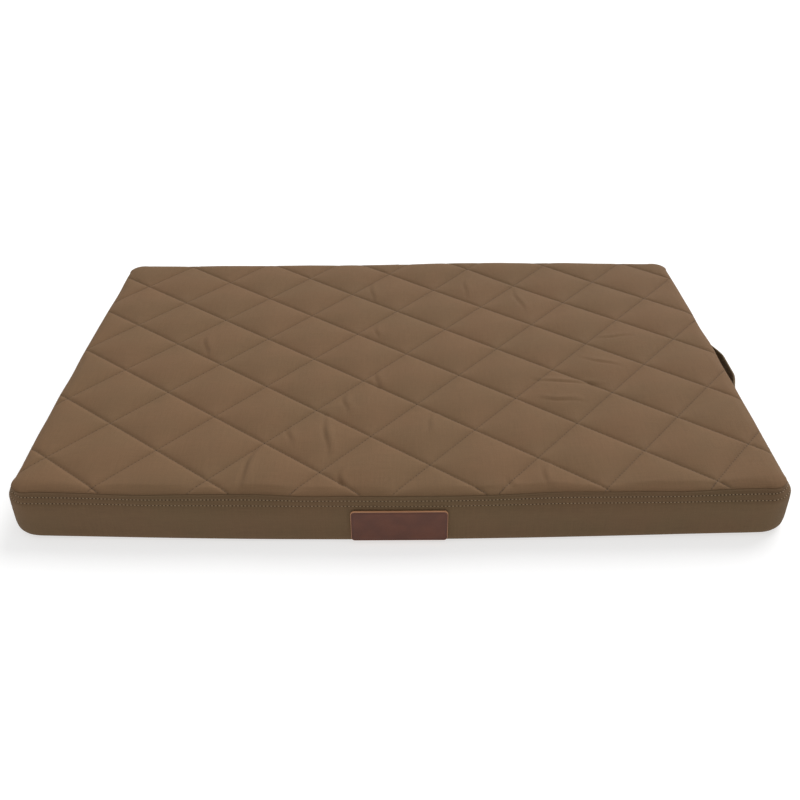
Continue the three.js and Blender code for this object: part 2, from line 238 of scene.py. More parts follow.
class Finish:
    """A material. Constants go on the shader's own sockets, and node() adds any node, set up and linked."""

    def __init__(self, name, **constants):
        self.material = bpy.data.materials.new(name)
        self.material.use_nodes = True
        self.tree = self.material.node_tree
        self.shader = self.tree.nodes["Principled BSDF"]
        for socket, value in constants.items():
            self.feed(self.shader.inputs[socket.replace("_", " ")], value)

    def node(self, kind, settings=None, sockets=None, out=0):
        made = self.tree.nodes.new(kind)
        for name, value in (settings or {}).items():
            setattr(made, name, value)
        for name, value in (sockets or {}).items():
            self.feed(made.inputs[name], value)
        return Socket(self, made.outputs[out])

    def feed(self, socket, value):
        if isinstance(value, Socket):
            self.tree.links.new(value.link, socket)
        else:
            socket.default_value = value

    def vary(self, name, value):
        self.feed(self.shader.inputs[name], value)

    def object_place(self):
        return self.node("ShaderNodeTexCoord", out="Object")

    def noise(self, place, scale, detail=2.0, roughness=0.5):
        sockets = {"Vector": place, "Scale": scale, "Detail": detail, "Roughness": roughness}
        return self.node("ShaderNodeTexNoise", None, sockets)

    def stretched(self, place, x, y, z):
        """A place with each coordinate multiplied by its own number."""
        return self.node("ShaderNodeMapping", None, {"Vector": place, "Scale": (x, y, z)})

    def mix(self, share, first, second):
        return self.node("ShaderNodeMix", {"data_type": "RGBA"}, {0: share, 6: first, 7: second}, out=2)

    def bump(self, height, distance, strength=1.0, normal=None):
        sockets = {"Height": height, "Distance": distance, "Strength": strength}
        if normal is not None:
            sockets["Normal"] = normal
        return self.node("ShaderNodeBump", None, sockets)


def colour(red, green, blue):
    """A colour given as it looks on a screen, 0 to 255, as the linear one that shaders use."""
    screen = np.array([red, green, blue]) / 255
    linear = np.where(screen <= 0.04045, screen / 12.92, ((screen + 0.055) / 1.055) ** 2.4)
    return (*linear.tolist(), 1.0)


def foam_finish(name, light, dark, cell):
    """Open-cell foam: pale, quite dull, with cells of one size as dark pinholes."""
    finish = Finish(name, Roughness=0.95, Specular_IOR_Level=0.2)
    place = finish.object_place()
    cells = finish.node("ShaderNodeTexVoronoi", None, {"Vector": place, "Scale": 1 / cell})
    walls = cells.ramp(0.1, 0.35)
    cloudy = finish.noise(place, 30.0)
    finish.vary("Base Color", finish.mix((1 - walls) * 0.6 + cloudy * 0.3, colour(*light), colour(*dark)))
    finish.vary("Normal", finish.bump(walls, 0.3 * MM, 0.6))
    return finish


coarse = BedOutline(94, 60, 2)
CORE_EDGE = 16 * MM
support_finish = foam_finish("support_foam", (239, 230, 196), (196, 182, 140), 1.1 * MM)
comfort_finish = foam_finish("comfort_foam", (213, 222, 228), (160, 174, 184), 0.8 * MM)


def core_rings(inset, whole, stretch):
    """Rings down a stretch of the core's height. The whole height, given by its low and high levels, is
    drawn in at its two edges by a quarter circle."""
    low, high = whole
    levels = high - (high - low) * (1 - np.cos(np.linspace(0, np.pi, 60))) / 2
    levels = levels[(levels < stretch[1]) & (levels > stretch[0])]
    levels = np.concatenate([[stretch[1]], levels, [stretch[0]]])
    past = np.maximum(levels - (high - CORE_EDGE), low + CORE_EDGE - levels).clip(0) / CORE_EDGE
    drawn = CORE_EDGE * (1 - np.sqrt(np.clip(1 - past**2, 0, 1)))
    return np.array([coarse.ring(inset + d, z) for d, z in zip(drawn, levels)])


foam_whole = (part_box("support_foam")[0][2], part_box("comfort_foam")[1][2])
for node, finish, fill in (("support_foam", support_finish, 1.0), ("comfort_foam", comfort_finish, 0.9)):
    low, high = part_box(node)
    rings = core_rings(BED_WIDTH / 2 - high[0], foam_whole, (low[2], high[2]))
    points, quads = over_outline(coarse, rings, coarse.patch(rings[0]), coarse.patch(rings[-1]))
    slab = make_piece(node + "_layer", points, quads, "bed", finish)
    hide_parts(node)

# ---- Inner liner ----
# A thin knitted bag round the foam, so that the foam slides into the cover. It is drawn as its two halves,
# which meet at the seam round its top edge.
LINER = 0.8 * MM
liner_finish = Finish("liner_cloth", Roughness=0.8)
liner_place = liner_finish.object_place()
liner_rib = (liner_finish.node("ShaderNodeSeparateXYZ", None, {0: liner_place}) * 4200.0).sin() * 0.5
liner_slub = liner_finish.noise(liner_finish.stretched(liner_place, 60, 900, 900), 1.0)
liner_finish.vary("Base Color", liner_finish.mix(liner_slub, colour(210, 207, 201), colour(184, 181, 175)))
liner_finish.vary("Normal", liner_finish.bump(liner_rib + liner_slub, 0.15 * MM, 0.5))


def thicken(piece, thickness):
    """Gives a sheet its thickness, inwards from the drawn face."""
    solidify = piece.modifiers.new("thickness", "SOLIDIFY")
    solidify.thickness = thickness
    solidify.offset = -1
    solidify.use_even_offset = True


liner_whole = (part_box("liner_tray")[0][2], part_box("liner_lid")[1][2])
for node, foam in (("liner_lid", "comfort_foam"), ("liner_tray", "support_foam")):
    low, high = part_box(node)
    inset = BED_WIDTH / 2 - high[0]
    rings = core_rings(inset, liner_whole, (low[2], high[2]))
    caps = {"top": coarse.patch(rings[0])} if node == "liner_lid" else {"base": coarse.patch(rings[-1])}
    points, quads = over_outline(coarse, rings, **caps)
    half = make_piece(node + "_cloth", points, quads, "bed", liner_finish)
    thicken(half, LINER)
    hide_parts(node)

# ---- Base panel ----
# One plain piece of heavier, darker canvas that the bed rests on. It is cut to the plan and sewn to the
# band all round, where the band rolls under.
BASE_SEAM = 14.3 * MM


def canvas_finish(name, warm, olive, yarn, relief):
    """Plain-woven cotton canvas. The weave is the product of two sine waves, one yarn wide each way, so that
    the yarns pass over and under; slubs are noise drawn out along the yarns, and the dye varies a little."""
    finish = Finish(name, Roughness=0.92, Specular_IOR_Level=0.2, Sheen_Weight=0.06, Sheen_Roughness=0.5)
    finish.shader.inputs["Sheen Tint"].default_value = colour(*[min(255, c + 60) for c in warm])
    cloth = finish.node("ShaderNodeUVMap", {"uv_map": "cloth"})
    split = finish.node("ShaderNodeSeparateXYZ", None, {0: cloth})
    across = Socket(finish, split.link.node.outputs[0])
    along = Socket(finish, split.link.node.outputs[1])
    weave = (across * (math.pi / yarn)).sin() * (along * (math.pi / yarn)).sin() * 0.5
    warp = finish.noise(finish.stretched(cloth, 1 / (2.2 * yarn), 1 / (60 * yarn), 1), 1.0, 2.0)
    weft = finish.noise(finish.stretched(cloth, 1 / (60 * yarn), 1 / (2.2 * yarn), 1), 1.0, 2.0)
    slub = (warp + weft) * 0.5
    fuzz = finish.noise(finish.object_place(), 700.0, 3.0, 0.7)
    cloudy = finish.noise(finish.object_place(), 11.0, 3.0, 0.55).ramp(0.35, 0.65)
    dyed = finish.mix(cloudy, colour(*warm), colour(*olive))
    dim, lit = colour(*[c * 0.9 for c in warm]), colour(*[c * 1.1 for c in warm])
    shade = finish.mix((slub * 0.6 + fuzz * 0.4).ramp(0.3, 0.7), dim, lit)
    body = finish.mix(0.5, dyed, shade)
    finish.body, finish.across, finish.along = body, across, along
    finish.vary("Base Color", body)
    finish.vary("Roughness", slub * 0.1 + 0.86)
    finish.woven = finish.bump(weave + slub * 1.4 + fuzz * 0.8, relief)
    finish.vary("Normal", finish.woven)
    return finish


base_finish = canvas_finish("base_canvas", (70, 57, 43), (66, 56, 43), 0.8 * MM, 0.22 * MM)
low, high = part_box("base_panel")
base_rim = ((BASE_SEAM, high[2]), (BASE_SEAM - 0.2 * MM, 0.7 * MM), (BASE_SEAM, 0))
rings = np.array([coarse.ring(inset, z) for inset, z in base_rim])
points, quads = over_outline(coarse, rings, coarse.patch(rings[0]), coarse.patch(rings[-1]))
base = make_piece("base_canvas", points, quads, "bed", base_finish, cloth_uv=points[:, :2])
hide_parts("base_panel")

# ---- Side band ----
# One strip of canvas round the left, front and right. A turned edge makes a small bead under the top seam,
# two rows of top stitching draw it in, the foam bulges it, and it rolls under to the base, furthest at the
# corners.
fine = BedOutline(344, 226, 6)
BAND_TOP = band_high[2]
SEAM_INSET = BED_WIDTH / 2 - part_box("quilt_face")[1][0]
BEAD = 1.3 * MM
BEAD_STEP = 0.7 * MM  # of cloth between two rows of the bead
STITCH_ROWS = (6.3 * MM, 13.2 * MM)  # below the top seam
STITCH_PITCH = 4.7 * MM
STITCH_GROOVE = 0.5 * MM
ROLL_HEIGHT = 22 * MM
UNDER_TURN = 14 * MM
CORNER_TUCK = 3 * MM
ROLL_SQUARENESS = 3.6
BAND_CLOTH = 1.2 * MM
LEAN_FROM = 45 * MM  # the height above which the band leans in to the top seam
LEAN_POWER = 1.7
SWELL = 1.1 * MM
SWELL_FOOT = 24 * MM
FULL_FOOT = 7 * MM
CROWN_HEAD = 12 * MM  # below the top seam, where the swell and the fullness die away
PUCKER = 0.35 * MM
PUCKER_FROM, PUCKER_OVER = 40 * MM, 22 * MM
CORNER_FOLD = 1.6 * MM
# Where the foam fills the cover most: each place's middle on the plan, how far it stands out, its width.
FULL_CORNERS = (((0.49, -0.27), 7.5 * MM, 0.14), ((-0.49, -0.26), 5.5 * MM, 0.13))
# Where the front seam is drawn back: each place's middle, how far, its width.
SEAM_PULLS = ((0.205, 4.0 * MM, 0.09), (-0.195, 3.2 * MM, 0.08))
seeds = np.random.default_rng(27)


def wander(travel, wavelength):
    """A smooth random wave of unit size: the mean of five sines with lengths near the one given."""
    lengths = wavelength * seeds.uniform(0.7, 1.7, 5)
    phases = seeds.uniform(0, 2 * np.pi, 5)
    return np.sin(np.multiply.outer(travel, 2 * np.pi / lengths) + phases).mean(axis=-1) * 1.6


def hump(x, centre, width):
    """A bell: e to the minus square of the distance from its centre in widths."""
    return np.exp(-(((x - centre) / width) ** 2))


def facing(outwards):
    """1 on the side that faces a way and 0 elsewhere, from the outline's share of that way."""
    return np.clip(outwards * 10 - 9, 0, 1)


def grown(distance, full):
    """0 at no distance, 1 at the full one and beyond, and straight between."""
    return np.clip(distance / full, 0, 1)


front_facing = facing(-fine.direction[:, 1])
right_facing = facing(fine.direction[:, 0])
back_facing = facing(fine.direction[:, 1])
plan_x, plan_y = fine.at(0).T
foot_x, foot_y = fine.foot.T
seam_pull = front_facing * sum(pull * hump(foot_x, x, width) for x, pull, width in SEAM_PULLS)
seam_inset = SEAM_INSET - 4.4 * MM * fine.cornering + seam_pull + 0.6 * MM * wander(fine.travel, 0.12)
seam_lift = 0.7 * MM * wander(fine.travel, 0.25)
label_hold = front_facing * hump(foot_x, 0, 0.085)
strap_hold = right_facing * (hump(foot_y, -0.09, 0.05) + hump(foot_y, 0.09, 0.05))
held_flat = np.maximum((label_hold + strap_hold).clip(0, 1), back_facing)
band_swell = SWELL * wander(fine.travel, 0.22) * (1 - held_flat)
band_pucker = PUCKER * wander(fine.travel, 0.011) * (0.6 + 0.4 * wander(fine.travel, 0.09))
corner_tuck = CORNER_TUCK * fine.cornering**0.7
corner_full = sum(
    out * hump(np.hypot(plan_x - x, plan_y - y), 0, width) for (x, y), out, width in FULL_CORNERS
)
corner_fold = CORNER_FOLD * hump(fine.cornering, 1, 0.02)
back_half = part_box("back_band_upper")[1][0]
join_groove = 1.0 * MM * back_facing * hump(np.abs(foot_x), back_half, 2.2 * MM)


def bead_rows(edge, radius):
    """The band's turned edge under the seam: a round bead, as inset past the seam's and height."""
    a = np.radians(np.linspace(-40, 140, 7))
    return radius * (0.3 - np.sin(a)), edge - radius + radius * np.cos(a)


def band_points(height, seam_share, columns=slice(None)):
    """The band's outside: at each height, the inset is the seam's share near the top (a power of the way up
    from where the band starts to lean), a squarish quarter turn where it rolls under and a small groove at
    each row of stitching, less the swell and puckers of the cloth. Rows run from the top down."""
    z = height[:, None]
    roll_height = ROLL_HEIGHT + corner_tuck[None, columns]
    rolled = np.clip(1 - z / roll_height, 0, 1)
    drawn = 1 - np.clip(1 - rolled**ROLL_SQUARENESS, 0, 1) ** (1 / ROLL_SQUARENESS)
    under = (UNDER_TURN + corner_tuck[None, columns]) * drawn
    swelling = grown(z, SWELL_FOOT) * grown(BAND_TOP - z, CROWN_HEAD)
    filling = grown(z, FULL_FOOT) * grown(BAND_TOP - 4 * MM - z, CROWN_HEAD) ** 0.7
    grooves = sum(hump(z, BAND_TOP - row, 1.5 * MM) for row in STITCH_ROWS)
    puckered = grown(z - PUCKER_FROM, PUCKER_OVER) ** 1.5 * (1 - seam_share[:, None] ** 8)
    inset = (
        seam_share[:, None] * seam_inset[None, columns]
        + under
        + STITCH_GROOVE * grooves
        - swelling * band_swell[None, columns]
        - filling * corner_full[None, columns]
        - puckered * band_pucker[None, columns]
        + corner_fold[None, columns] * hump(z, BAND_TOP - 7 * MM, 6 * MM)
        + join_groove[None, columns]
    )
    reach = (fine.reach[None, columns] - inset)[..., None]
    flat = fine.foot[None, columns] + reach * fine.direction[None, columns]
    lifted = z + seam_share[:, None] * seam_lift[None, columns]
    return np.concatenate([flat, np.broadcast_to(lifted, flat.shape[:2])[..., None]], axis=-1)


def seam_reach(height):
    """How far towards the seam's inset the band has leaned at a height."""
    return grown(height - LEAN_FROM, BAND_TOP - LEAN_FROM) ** LEAN_POWER


band_loop = np.linalg.norm(fine.at(0)[0] - fine.at(0)[-1]) + fine.travel[-1]
stitch_pitch = band_loop / round(band_loop / STITCH_PITCH)
band_finish = canvas_finish("band_canvas", (108, 85, 62), (103, 85, 61), 0.62 * MM, 0.16 * MM)


def stitch_end_shade(finish, travel, height):
    """Painted shade where the thread goes into the cloth between the stitches of each row, worked from the
    band's own travel and height.
    """
    beats = (travel * (2 * math.pi / stitch_pitch) + math.pi / 2).sin().ramp(0.35, 1.0)
    rows = 0.0
    for row in STITCH_ROWS:
        rows = rows + (1 - (height - (BAND_TOP - row)).size().ramp(0.3 * MM, 1.0 * MM))
    return beats * rows


band_thread_shade = stitch_end_shade(band_finish, band_finish.across, band_finish.along)
# Painted shade: the band is darkened where the thread goes into the cloth between stitches.
band_finish.vary("Base Color", band_finish.mix(band_thread_shade * 0.9, band_finish.body, colour(34, 26, 19)))


def side_by_side(*coordinates):
    """Coordinates spread over one grid and put together as points."""
    return np.stack(np.broadcast_arrays(*coordinates), axis=-1)


def band_sheet(name, height, columns, nodes, bead):
    """A strip of the band over some of the outline's columns, with a bead above it where it meets the seam.
    Its cloth coordinates are travel and height, with the rolled edge and the bead laid out at their true
    length."""
    points = band_points(height, seam_reach(height), columns)
    laid = height.copy()
    if bead:
        past, z = bead_rows(BAND_TOP, BEAD)
        top = band_points(z, np.ones_like(z), columns)
        top[..., :2] -= past[:, None, None] * fine.direction[None, columns]
        points = np.concatenate([top, points])
        laid = np.concatenate([BAND_TOP + 2 * MM - BEAD_STEP * np.arange(1, len(z) + 1), laid])
    steps = np.linalg.norm(np.diff(points[:, 0], axis=0), axis=1)
    down = np.concatenate([[0], np.cumsum(steps)])
    if laid[-1] < ROLL_HEIGHT / 2:
        turned = np.flatnonzero(laid < ROLL_HEIGHT)[0]
        laid[turned:] = laid[turned] - (down[turned:] - down[turned])
    travel = fine.travel[columns]
    travel = travel + (travel < travel[0]) * band_loop
    uv = side_by_side(travel[None], laid[:, None])
    piece = make_piece(name, points, grid_faces(numbered(points)), "bed", band_finish, cloth_uv=uv)
    thicken(piece, BAND_CLOTH)
    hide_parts(*nodes)


def steps_between(high, low, step):
    """Even heights from high to low, about one step apart."""
    return np.linspace(high, low, max(2, round((high - low) / step) + 1))


at_back = (fine.direction[:, 1] > 0.999) & (np.abs(foot_x) < back_half)
order = np.arange(len(at_back))
sides = order[~at_back]
back = np.roll(order, len(order) // 2)
back = back[at_back[back]]
sides = np.concatenate([[sides[0] - 1], sides, [sides[-1] + 1]])  # to the columns where the back panel starts
# The mesh's rows: close together over the stitching, wider down the wall, and round the roll.
stitched = steps_between(BAND_TOP - 3.2 * MM, 52 * MM, 1.4 * MM)
rolled = band_low[2] + ROLL_HEIGHT * (1 - np.sin(np.radians(np.linspace(0, 86, 12))))
wall = np.concatenate([stitched, steps_between(49 * MM, 25 * MM, 3 * MM), rolled])
band_sheet("side_band_canvas", wall, sides, ["side_band"], True)

# ---- Back panel ----
# Two strips of the band's canvas across the straight back, above and below the zip. Each is turned back on
# itself beside the zip and top-stitched to its tape.
zip_edge_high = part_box("back_band_upper")[0][2]
zip_edge_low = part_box("back_band_lower")[1][2]
upper_wall = np.concatenate([stitched, steps_between(49 * MM, zip_edge_high, 1.5 * MM)])
lower_wall = np.concatenate([steps_between(zip_edge_low, 24 * MM, 1.5 * MM), rolled])
band_sheet("back_upper_canvas", upper_wall, back, ["back_band_upper"], True)
band_sheet("back_lower_canvas", lower_wall, back, ["back_band_lower"], False)

# ---- Zip ----
# A coil zip across the back: two woven tapes, a nylon coil sewn to each, metal stops, a canvas tab over each
# end, and a slider with a pull that hangs from its bridge.
COIL_PITCH = 1.6 * MM
COIL_THREAD = 0.36 * MM
COIL_MEETS = 0.15 * MM  # from the zip's middle line
LEAST_CORNER = 0.4 * MM
RIDGE_PITCH = 1.4 * MM


def tube_faces(points):
    """Quads round a grid of points whose columns close on themselves, and a polygon over each end."""
    ids = numbered(points)
    return grid_faces(ids, wrap_columns=True), [ids[0], ids[-1][::-1]]


def carried(section, along, place):
    """A closed section carried along a line: place gives the points of every (along, section) pair."""
    points = place(along[:, None], section[None])
    return points, *tube_faces(points)


def rounded_section(half_wide, half_thick, corner, turn_steps=4):
    """A rectangle with round corners, clockwise from its right-hand end, as (width, thickness) pairs."""
    turn = np.radians(np.concatenate([np.linspace(q, q - 90, turn_steps) for q in (90, 0, -90, -180)]))
    mid_x = np.repeat([1, 1, -1, -1], turn_steps) * (half_wide - corner)
    mid_y = np.repeat([1, -1, -1, 1], turn_steps) * (half_thick - corner)
    return np.stack([mid_x + corner * np.cos(turn), mid_y + corner * np.sin(turn)], axis=-1)


def speckled(name, first, second, scale, **constants):
    """A finish whose colour drifts between two, in specks as fine as the scale."""
    finish = Finish(name, **constants)
    specks = finish.noise(finish.object_place(), scale)
    finish.vary("Base Color", finish.mix(specks, colour(*first), colour(*second)))
    return finish


tape_finish = canvas_finish("zip_tape", (84, 69, 47), (78, 66, 46), 0.45 * MM, 0.12 * MM)
coil_look = {"Roughness": 0.42, "Specular_IOR_Level": 0.5}
coil_finish = speckled("zip_coil", (70, 56, 38), (86, 70, 49), 900.0, **coil_look)
for side in ("upper", "lower"):
    low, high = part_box("zip_tape_" + side)
    middle, half = (low + high) / 2, (high - low) / 2
    x = np.linspace(low[0], high[0], 320)
    section = rounded_section(half[2], half[1], 0.3 * MM)

    def tape_place(x, section):
        return side_by_side(x, middle[1] + section[..., 1], middle[2] + section[..., 0])

    points, quads, ends = carried(section, x, tape_place)
    tape_uv = points[..., [0, 2]]
    tape = make_piece("zip_tape_%s_woven" % side, points, quads, "bed", tape_finish, ends, tape_uv)
    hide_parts("zip_tape_" + side)

    low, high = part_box("zip_coil_" + side)
    zip_middle = (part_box("zip_coil_upper")[0][2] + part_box("zip_coil_lower")[1][2]) / 2
    sign = 1 if side == "upper" else -1
    far = high[2] - zip_middle if sign > 0 else zip_middle - low[2]
    centre_z = zip_middle + sign * (far + COIL_MEETS) / 2
    loop_z, loop_y = (far - COIL_MEETS) / 2 - COIL_THREAD, (high[1] - low[1]) / 2 - COIL_THREAD
    turns = round((high[0] - low[0]) / COIL_PITCH) - 1
    angle = np.linspace(0, 2 * np.pi * turns, turns * 8 + 1) + (np.pi / 2) * sign
    x = low[0] + COIL_PITCH / 2 + COIL_PITCH * (angle - angle[0]) / (2 * np.pi)
    radial = np.stack([0 * angle, np.cos(angle), np.sin(angle)], axis=-1)
    centre_y = (low[1] + high[1]) / 2
    line = np.stack([x, centre_y + loop_y * np.cos(angle), centre_z + loop_z * np.sin(angle)], axis=-1)
    turn = np.linspace(0, 2 * np.pi, 5)[:4, None, None]
    off_line = np.cos(turn) * radial - np.sin(turn) * np.array([1.0, 0, 0])
    wound = (line + COIL_THREAD * off_line).transpose(1, 0, 2)
    quads, ends = tube_faces(wound)
    coil = make_piece("zip_coil_%s_wound" % side, wound, quads, "bed", coil_finish, ends)
    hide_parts("zip_coil_" + side)

metal_finish = Finish("zip_metal", Metallic=1.0)
metal_place = metal_finish.object_place()
metal_tone = metal_finish.noise(metal_place, 500.0, 3.0)
metal_scratch = metal_finish.noise(metal_finish.stretched(metal_place, 200, 3000, 3000), 1.0)
metal_finish.vary("Base Color", metal_finish.mix(metal_tone, colour(128, 106, 70), colour(100, 82, 54)))
metal_finish.vary("Roughness", metal_scratch * 0.25 + 0.22)
metal_finish.vary("Normal", metal_finish.bump(metal_scratch, 0.02 * MM, 0.4))


def softened(node, body, finish, edge):
    """The node's own shape with its flat faces made whole and its edges rounded, as a piece in its place."""
    shape = bmesh.new()
    shape.from_mesh(bpy.data.objects[node].data)
    bmesh.ops.remove_doubles(shape, verts=shape.verts, dist=0.01 * MM)
    bmesh.ops.dissolve_limit(shape, angle_limit=math.radians(1), verts=shape.verts, edges=shape.edges)
    mesh = bpy.data.meshes.new(node + "_cast")
    shape.to_mesh(mesh)
    shape.free()
    piece = add_object(node + "_cast", mesh)
    mesh.materials.clear()
    mesh.materials.append(finish.material)
    mesh.polygons.foreach_set("use_smooth", np.ones(len(mesh.polygons), bool))
    bevel = piece.modifiers.new("edges", "BEVEL")
    bevel.width = edge
    bevel.segments = 3
    bevel.limit_method = "ANGLE"
    bevel.angle_limit = math.radians(35)
    bevel.harden_normals = True
    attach(piece, body)
    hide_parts(node)


softened("zip_slider", "slider", metal_finish, 0.25 * MM)
softened("zip_pull", "pull", metal_finish, 0.3 * MM)


def plaque(half_wide, half_high, corner, rim):
    """A flat piece with round corners: rings at each (inset, thickness) of the rim, from its back edge round
    to its face, closed by one polygon each side. Gives (across, up, out) for each ring's points."""
    rings = []
    for inset, out in rim:
        ring = rounded_section(half_wide - inset, half_high - inset, max(corner - inset, LEAST_CORNER), 8)
        rings.append(np.column_stack([ring, np.full(len(ring), out)]))
    points = np.array(rings)
    ids = numbered(points)
    return points, grid_faces(ids, wrap_columns=True)[:, ::-1], [ids[0][::-1], ids[-1]]


def on_back(node, corner, edge, finish, ridge=0):
    """A small flat piece on the back, facing +Y, in the node's box, with its face rounded off at the edge.
    It may have ridges of a height across its length, as a pressed stop has."""
    low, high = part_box(node)
    half, middle, thick = (high - low) / 2, (high + low) / 2, high[1] - low[1]
    rim = [(0, 0), (0, thick - edge), (0.3 * edge, thick - 0.3 * edge), (edge, thick)]
    rim += [(edge + share * (half[2] - edge - 0.6 * MM), thick) for share in (0.4, 0.8, 1)]
    shape, quads, ends = plaque(half[0], half[2], corner, rim)
    ridged = ridge * np.cos(shape[..., 0] * 2 * np.pi / RIDGE_PITCH) * (shape[..., 2] > thick / 2)
    out = low[1] + shape[..., 2] + ridged
    points = np.stack([middle[0] - shape[..., 0], out, middle[2] + shape[..., 1]], axis=-1)
    piece = make_piece(node + "_sewn", points, quads, "bed", finish, ends, points[..., [0, 2]])
    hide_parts(node)


for side in ("left", "right"):
    on_back("zip_end_tab_" + side, 1 * MM, 0.5 * MM, band_finish)
    on_back("zip_stop_" + side, 0.8 * MM, 0.4 * MM, metal_finish, ridge=0.25 * MM)

# ---- Top stitching ----
# Heavy tan thread, sewn by machine: two rows round the band below the top seam, and a row beside each
# folded edge at the zip.
THREAD = 0.42 * MM
BESIDE_ZIP = 2.5 * MM
stitch_length = 0.62 * stitch_pitch
thread_finish = speckled("thread_tan", (176, 152, 120), (140, 118, 90), 1800.0, Roughness=0.7)


def sewn(name, body, finish, centre, along, outward, length, thread):
    """Stitches, each a six-sided bead of thread along its direction: four rings, each with its share of the
    length, its girth and its rise in threads, slim at the ends, which dip into the cloth."""
    along = along / np.linalg.norm(along, axis=1, keepdims=True)
    outward = outward / np.linalg.norm(outward, axis=1, keepdims=True)
    across = np.cross(along, outward)
    rings = np.array([(-0.5, 0.45, -1.1), (-0.26, 1, 0.15), (0.26, 1, 0.15), (0.5, 0.45, -1.1)])
    reach, girth, rise = (rings * (length, thread, thread)).T[:, None, :, None, None]
    turn = np.linspace(0, 2 * np.pi, 7)[None, None, :6, None]
    a, o, c = along[:, None, None], outward[:, None, None], across[:, None, None]
    points = centre[:, None, None] + reach * a + rise * o + girth * (np.cos(turn) * c + np.sin(turn) * o)
    ids = np.arange(points[..., 0].size).reshape(-1, 4, 6)
    wrapped = np.concatenate([ids, ids[:, :, :1]], axis=2)
    near, far = wrapped[:, :-1], wrapped[:, 1:]
    walls = np.stack([far[..., :-1], near[..., :-1], near[..., 1:], far[..., 1:]], axis=-1)
    first_ends = [ids[:, 0, k] for k in ([0, 5, 4, 3], [3, 2, 1, 0])]
    last_ends = [ids[:, 3, k] for k in ([0, 1, 2, 3], [3, 4, 5, 0])]
    quads = np.concatenate([walls.reshape(-1, 4), *first_ends, *last_ends])
    piece = make_piece(name, points, quads, body, finish)
    return piece


def row_on_band(height):
    """Stitch places round the whole band at a height: points, directions and outward normals."""
    heights = height + np.array([1, 0, -1]) * MM
    rows = band_points(heights, seam_reach(heights))
    rows = np.concatenate([rows[:, -1:], rows, rows[:, :2]], axis=1)
    travel = np.concatenate([fine.travel[-1:] - band_loop, fine.travel, fine.travel[:2] + band_loop])
    at = (np.arange(round(band_loop / stitch_pitch)) + 0.5) * stitch_pitch

    def along_row(row, t):
        return np.stack([np.interp(t, travel, row[:, k]) for k in range(3)], axis=-1)

    centre = along_row(rows[1], at)
    along = along_row(rows[1], at + 0.5 * MM) - along_row(rows[1], at - 0.5 * MM)
    outward = np.cross(along, along_row(rows[0], at) - along_row(rows[2], at))
    return centre, along, outward


for name, row in zip(("upper", "lower"), STITCH_ROWS):
    centre, along, outward = row_on_band(BAND_TOP - row)
    sewn("top_stitching_" + name, "bed", thread_finish, centre, along, outward, stitch_length, THREAD)
for name, height in (("upper", zip_edge_high + BESIDE_ZIP), ("lower", zip_edge_low - BESIDE_ZIP)):
    centre, along, outward = row_on_band(height)
    beside = (centre[:, 1] > 0) & (np.abs(centre[:, 0]) < back_half)
    chosen = (centre[beside], along[beside], outward[beside])
    sewn("zip_stitching_" + name, "bed", thread_finish, *chosen, stitch_length, THREAD)

# ---- Quilted top ----
# Canvas, wadding and scrim quilted together in squares set on the diagonal, then cut out and sewn to the
# band. Cloth is simulated between the stitch lines, which hold it down while the wadding pushes it up.
QUILT_PITCH = 102.3 * MM
QUILT_TURN = math.radians(5.7)  # from the exact diagonal
QUILT_ORIGIN = np.array([-549.8, -194.4]) * MM  # where two stitch lines cross
QUILT_CELLS = 18  # of the simulated cloth, along one square
CLOTH_STEPS = 20
PUFF = 5.2 * MM
GROOVE, GROOVE_WIDTH = 0.7 * MM, 2.6 * MM
line_along = np.array([math.cos(QUILT_TURN - math.pi / 4), math.sin(QUILT_TURN - math.pi / 4)])
line_across = np.array([math.cos(QUILT_TURN + math.pi / 4), math.sin(QUILT_TURN + math.pi / 4)])
TOP_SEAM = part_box("quilt_face")[0][2]
SEAM_CORNER = 20 * MM
SEAM_STEP = 0.1 * MM
EDGE_RISE, EDGE_WIDTH = 2.8 * MM, 12 * MM  # of the crown, beside the seam
MIDDLE_RISE, MIDDLE_WIDTH = 1.0 * MM, 40 * MM  # further in
QUILT_CLOTH = {
    "vertex_group_mass": "stitched", "quality": 6, "mass": 0.25, "tension_stiffness": 12,
    "compression_stiffness": 12, "shear_stiffness": 4, "bending_stiffness": 1.0, "use_pressure": True,
    "uniform_pressure_force": 3.0,
}


def lattice_place(x, y):
    """A point in squares along each family of stitch lines."""
    rel = np.stack([x, y], axis=-1) - QUILT_ORIGIN
    return rel @ line_across / QUILT_PITCH, rel @ line_along / QUILT_PITCH


def lattice_reach(half_wide, half_deep):
    """The first and the last line of each family that a rectangle about the origin reaches, or just past."""
    corners = np.array([(x, y) for x in (-half_wide, half_wide) for y in (-half_deep, half_deep)])
    places = np.array(lattice_place(corners[:, 0], corners[:, 1]))
    return np.floor(places.min(axis=1)).astype(int), np.ceil(places.max(axis=1)).astype(int)


def edge_distance(x, y):
    """How far inside the top seam a point is: the signed distance to a rectangle with round corners, whose
    front and sides are moved out by their bows."""
    corner_x = BED_WIDTH / 2 - SIDE_BOW - CORNER_RADIUS
    corner_y = BED_DEPTH / 2 - CORNER_RADIUS
    front = BED_DEPTH / 2 - SEAM_INSET - FRONT_BOW * np.minimum((x / corner_x) ** 2, 1)
    side = BED_WIDTH / 2 - SEAM_INSET - SIDE_BOW * np.minimum((y / corner_y) ** 2, 1)
    dx = side - np.abs(x)
    dy = np.minimum(y + front, BED_DEPTH / 2 - SEAM_INSET - y)
    qx, qy = SEAM_CORNER - dx, SEAM_CORNER - dy
    outside = np.hypot(np.maximum(qx, 0), np.maximum(qy, 0)) + np.minimum(np.maximum(qx, qy), 0)
    return SEAM_CORNER - outside


